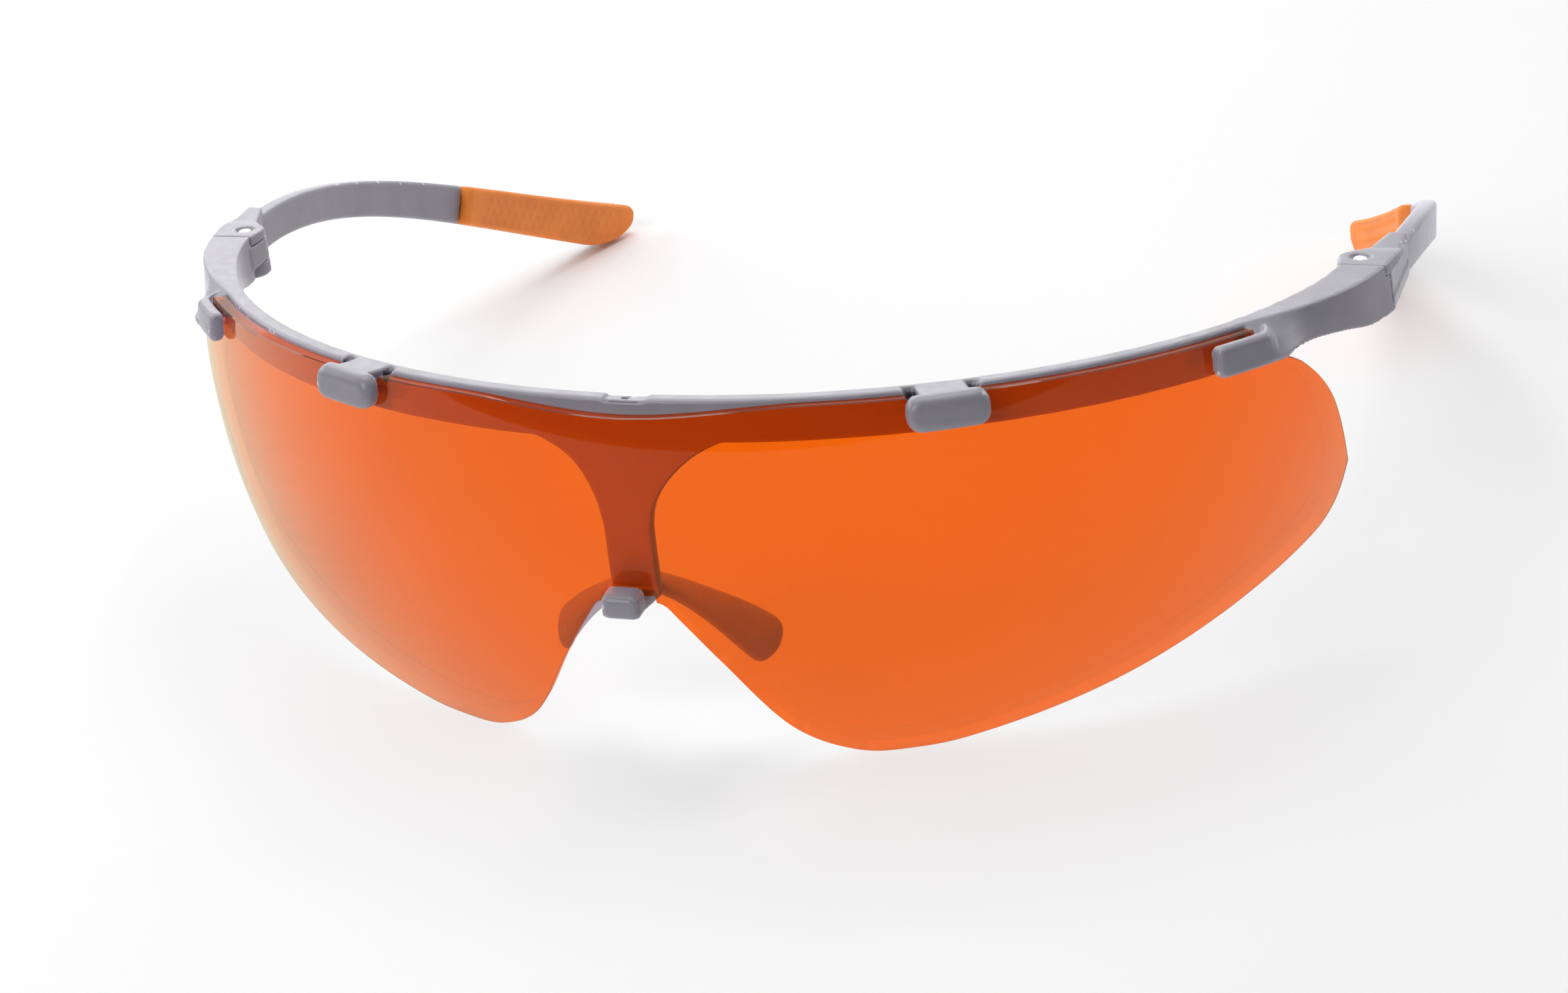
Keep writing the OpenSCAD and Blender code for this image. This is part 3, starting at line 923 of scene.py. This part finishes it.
def pin_recess(obj):
    """The countersink in the upper leaf, with the pin's head at its bottom."""
    for v in obj.data.vertices:
        away = math.hypot(abs(v.co.x) / MM - PIN_X, v.co.y / MM - PIN_Y)
        if away < 1.35 and v.co.z / MM > KNUCKLE_TOP + 0.5:
            v.co.z = mix(v.co.z, (pin_high[2] - 0.3) * MM, 1 - smooth((away - 0.95) / 0.3))


def build_arm(name, mirrored):
    """A temple: the upper leaf, the lower leaf round the pin, the web between them and the arm."""
    bm = bmesh.new()
    upper_low = KNUCKLE_TOP + LEAF_GAP
    lower_top = KNUCKLE_LOW - LEAF_GAP
    loft(bm, leaf_rings(upper_low))
    lower = [(x, max(y, SHOULDER_Y + LEAF_GAP)) for x, y in even_ring(LEAF, 60)]
    for outline in (circle(PIN_X, PIN_Y, KNUCKLE_R), lower):
        loft(bm, prism_rings(outline, LEAF_LOW, lower_top))
    web_top = [(x - WEB_LEAN if x > PIN_X + 3 else x, y) for x, y in WEB]
    loft(bm, [
        [(x, y, z) for x, y in outline]
        for outline, z in ((WEB, LEAF_LOW), (web_top, upper_low), (web_top, upper_low + 0.5))
    ])
    loft(bm, arm_rings(-0.02, TIP_START, ARM_T / 2, -ARM_T / 2, 70))
    loft(bm, arm_rings(TIP_START - 0.01, 0.995, ARM_T / 2, -0.1, 50))
    obj = make_object(name, bm, mirrored)
    fuse(obj, 0.17, 4)
    pin_recess(obj)
    obj.data.materials.append(frame_plastic)
    return obj


TIP_GAP = 0.12
TIP_RINGS = 260
NUB_RELIEF = 0.2
NUB_PITCH = 1.9
NUB_ROW = 1.55
NUB_SLANT = 0.55
ARM_LENGTH = 105


def nub_height(u, t):
    """Slanted rows of ridges on the ear pad: 1 on a ridge, 0 beside it, t below the edge."""
    wave = math.cos((u * ARM_LENGTH + t * NUB_SLANT) * 2 * math.pi / NUB_PITCH)
    rows = math.cos(t * 2 * math.pi / NUB_ROW)
    return max(0.0, wave) ** 1.5 * max(0.0, rows + 0.35) / 1.35


def nub_field(u, t, h):
    """1 where the pad has ridges, and 0 at its four borders."""
    lengthwise = smooth((u - TIP_START - 0.01) / 0.05) * smooth((0.985 - u) / 0.02)
    return lengthwise * smooth((h - t - 0.5) / 0.4) * smooth((t - 0.5) / 0.4)


def build_tip(name, mirrored):
    """The soft pad: a rounded bar with ridges on the face that meets the head."""
    bm = bmesh.new()
    rings = []
    for i in range(TIP_RINGS + 1):
        u = mix(TIP_START + 0.003, 1.004, i / TIP_RINGS)
        here, side, down = arm_axes(u)
        h = arm_height(u)
        from_end = min(1.0, i / 5, (TIP_RINGS - i) / 5)
        tuck = 0.5 * (1 - math.sqrt(max(0.0, 1 - (1 - from_end) ** 2)))
        inside, top, low = -TIP_GAP - TIP_T + tuck, toe_top(u) + tuck * 0.5, h - tuck * 0.5
        outline = even_ring(rounded(inside, -TIP_GAP, top, low, min(0.8, h / 3), 5), 72)
        ring = []
        for s, t in outline:
            inner = smooth((-s - TIP_GAP - TIP_T + 0.35) / 0.3)
            field = nub_field(u, t, h)
            sunk = NUB_RELIEF * inner * (1 - nub_height(u, t) * field) * field
            ring.append(tuple(here + side * (s + sunk) + down * t))
        rings.append(ring)
    loft(bm, rings)
    obj = make_object(name, bm, mirrored)
    obj.data.materials.append(tip_rubber)
    return obj


def build_pin(name, mirrored):
    """A plain pin with a slightly domed, chamfered head."""
    top, low = pin_high[2], pin_low[2]
    profile = (
        (low, 0.12), (low + 0.12, 0), (top - 0.22, 0), (top - 0.08, 0.1), (top - 0.02, 0.3), (top, 0.6)
    )
    bm = bmesh.new()
    loft(bm, [[(x, y, z) for x, y in circle(PIN_X, PIN_Y, PIN_R - cut, 48)] for z, cut in profile])
    obj = make_object(name, bm, mirrored)
    obj.data.materials.append(pin_steel)
    return obj


# ------------------------------------------------------------------ nose saddle
SADDLE_Y = -71.2
SADDLE_T = 0.85
# Half of the saddle, from its middle to a wing's end: x, y, z, width and turn in degrees
SADDLE_PATH = [
    (0, SADDLE_Y, 20.4, 2.8, 90),
    (3.4, SADDLE_Y + 0.2, 19.2, 3.2, 80),
    (7, SADDLE_Y + 0.9, 16.8, 4.3, 66),
    (10, SADDLE_Y + 2, 13.9, 5.3, 60),
    (11.7, SADDLE_Y + 3, 11.7, 4.9, 56),
]


def build_saddle():
    """The soft saddle: a flat oval section that widens along each wing and closes at its end."""
    path = curve_through(SADDLE_PATH, 14)
    last = len(path) - 1
    bm = bmesh.new()
    rings = []
    for i, (x, y, z, width, turn) in enumerate(path):
        ahead = Vector(path[min(last, i + 1)][:3]) - Vector(path[max(0, i - 1)][:3])
        ahead.normalize()
        across = Vector((math.cos(math.radians(turn)), math.sin(math.radians(turn)), 0))
        across = (across - ahead * across.dot(ahead)).normalized()
        normal = ahead.cross(across)
        left = (last - i) / 9
        close = math.sqrt(max(0.02, 1 - max(0.0, 1 - left) ** 2))
        half, thick = width / 2 * close, SADDLE_T * mix(0.6, 1, close)
        ring = []
        for k in range(28):
            a = 2 * math.pi * k / 28
            c, s = math.cos(a), math.sin(a)
            wide = math.copysign(abs(c) ** 0.8, c) * half
            tall = math.copysign(abs(s) ** 0.8, s) * thick
            ring.append(tuple(Vector((x, y, z)) + across * wide + normal * tall))
        rings.append(ring)
    for side in (1, -1):
        loft(bm, [flip(r, side) for r in rings])
    obj = make_object("nose_saddle_soft", bm)
    fuse(obj, 0.14, 6)
    obj.data.materials.append(saddle_rubber)
    return obj


saddle = build_saddle()
lean_nose(saddle)
arm_left = build_arm("temple_left_bar", False)
arm_right = build_arm("temple_right_bar", True)
tip_left = build_tip("ear_pad_left", False)
tip_right = build_tip("ear_pad_right", True)
pin_left = build_pin("pin_left", False)
pin_right = build_pin("pin_right", True)

for piece, body, cad_node, slot in (
    (lens, "frame", "lens", "lens_tinted"),
    (brow, "frame", "brow_frame", "frame_plastic"),
    (saddle, "frame", "nose_saddle", "saddle_rubber"),
    (arm_left, "temple_left", "temple_arm_left", "frame_plastic"),
    (arm_right, "temple_right", "temple_arm_right", "frame_plastic"),
    (tip_left, "temple_left", "ear_tip_left", "tip_rubber"),
    (tip_right, "temple_right", "ear_tip_right", "tip_rubber"),
    (pin_left, "frame", "hinge_pin_left", "pin_steel"),
    (pin_right, "frame", "hinge_pin_right", "pin_steel"),
):
    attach(piece, body)
    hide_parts(cad_node)


# ------------------------------------------------------------------ floor, light and camera
FLOOR_HALF = 900
FLOOR_FRONT = -285
FLOOR_BACK = 1100
FADE_NEAR = 0.3
FADE_FAR = 0.5


def build_floor():
    """A white table that fades into the white room. The lens mirrors its front edge."""
    bm = bmesh.new()
    outline = [
        (-FLOOR_HALF, FLOOR_FRONT, 0), (FLOOR_HALF, FLOOR_FRONT, 0),
        (FLOOR_HALF, FLOOR_BACK, 0), (-FLOOR_HALF, FLOOR_BACK, 0),
    ]
    bm.faces.new([bm.verts.new(p) for p in outline])
    obj = make_object("floor", bm)
    mat, tree, shader = new_material("table")
    tone = cloud(tree, 0.004, 2, (0.89, 0.89, 0.895), grey(0.91))
    tree.links.new(tone, shader.inputs["Base Color"])
    shader.inputs["Roughness"].default_value = 0.8
    shader.inputs["Specular IOR Level"].default_value = 0.2
    place = tree.nodes.new("ShaderNodeTexCoord")
    away = node(tree, "ShaderNodeVectorMath", operation="LENGTH")
    tree.links.new(place.outputs["Object"], away.inputs[0])
    span = node(tree, "ShaderNodeMapRange")
    span.inputs["From Min"].default_value = FADE_NEAR
    span.inputs["From Max"].default_value = FADE_FAR
    tree.links.new(away.outputs["Value"], span.inputs["Value"])
    path = tree.nodes.new("ShaderNodeLightPath")
    fade = calc(tree, "MULTIPLY", span.outputs["Result"], path.outputs["Is Camera Ray"])
    clear = tree.nodes.new("ShaderNodeBsdfTransparent")
    seen = blend_shaders(tree, fade, shader.outputs["BSDF"], clear.outputs["BSDF"])
    tree.links.new(seen, tree.nodes["Material Output"].inputs["Surface"])
    obj.data.materials.append(mat)
    return obj


def area_light(name, place, aim, size, watts):
    data = bpy.data.lights.new(name, "AREA")
    data.shape = "RECTANGLE"
    data.size, data.size_y = size
    data.energy = watts
    obj = bpy.data.objects.new(name, data)
    bpy.context.scene.collection.objects.link(obj)
    obj.location = place
    obj.rotation_mode = "QUATERNION"
    obj.rotation_quaternion = (Vector(aim) - Vector(place)).to_track_quat("-Z", "Y")


def build_world():
    """A room that looks white. Its light falls off towards the front and the floor."""
    world = bpy.data.worlds.new("studio")
    bpy.context.scene.world = world
    world.use_nodes = True
    tree = world.node_tree
    tree.nodes.clear()
    out = tree.nodes.new("ShaderNodeOutputWorld")
    seen = node(tree, "ShaderNodeBackground", Color=(1, 1, 1, 1), Strength=1.0)
    where = tree.nodes.new("ShaderNodeTexCoord")
    split = tree.nodes.new("ShaderNodeSeparateXYZ")
    tree.links.new(where.outputs["Generated"], split.inputs["Vector"])
    height = calc(tree, "MULTIPLY_ADD", split.outputs["Z"], 0.9, split.outputs["Y"])
    shade = ramp(tree, height, [(0.0, grey(0.1)), (0.3, grey(0.3)), (0.9, WHITE)])
    lit = node(tree, "ShaderNodeBackground")
    tree.links.new(shade, lit.inputs["Color"])
    path = tree.nodes.new("ShaderNodeLightPath")
    brighter = calc(tree, "MULTIPLY_ADD", path.outputs["Is Glossy Ray"], 0.7, 0.45)
    tree.links.new(brighter, lit.inputs["Strength"])
    room = blend_shaders(
        tree, path.outputs["Is Camera Ray"], lit.outputs["Background"], seen.outputs["Background"]
    )
    tree.links.new(room, out.inputs["Surface"])


CAMERA_PLACE = (0.09493, -0.31456, 0.15293)
CAMERA_AZIMUTH = math.radians(18.25)
CAMERA_ELEVATION = math.radians(25.53)
CAMERA_ROLL = math.radians(-5.21)
CAMERA_LENS = 65.87


def build_camera():
    data = bpy.data.cameras.new("camera")
    data.lens = CAMERA_LENS
    data.sensor_width = 36.0
    data.clip_start, data.clip_end = 0.01, 10
    obj = bpy.data.objects.new("camera", data)
    bpy.context.scene.collection.objects.link(obj)
    level = math.cos(CAMERA_ELEVATION)
    ahead = -Vector((
        math.sin(CAMERA_AZIMUTH) * level, -math.cos(CAMERA_AZIMUTH) * level, math.sin(CAMERA_ELEVATION)
    ))
    obj.location = CAMERA_PLACE
    obj.rotation_mode = "QUATERNION"
    obj.rotation_quaternion = ahead.to_track_quat("-Z", "Y") @ Quaternion((0, 0, 1), CAMERA_ROLL)
    bpy.context.scene.camera = obj


floor = build_floor()
build_world()
area_light("overhead", (-0.05, 0.15, 0.7), (0, 0, 0.02), (0.6, 0.5), 2.5)
area_light("back_panel", (-0.4, 0.8, 0.45), (0, 0, 0.03), (0.8, 0.55), 2.7)
area_light("left_panel", (-0.8, 0.1, 0.3), (0, -0.02, 0.03), (0.6, 0.4), 1.8)
area_light("front_panel", (-0.25, -0.7, 0.5), (0, 0, 0.03), (0.5, 0.5), 3.1)
area_light("right_panel", (0.7, 0.75, 0.3), (0.05, 0, 0.03), (0.4, 0.4), 0.8)
build_camera()

scene = bpy.context.scene
scene.view_settings.view_transform = "Standard"
scene.view_settings.look = "None"
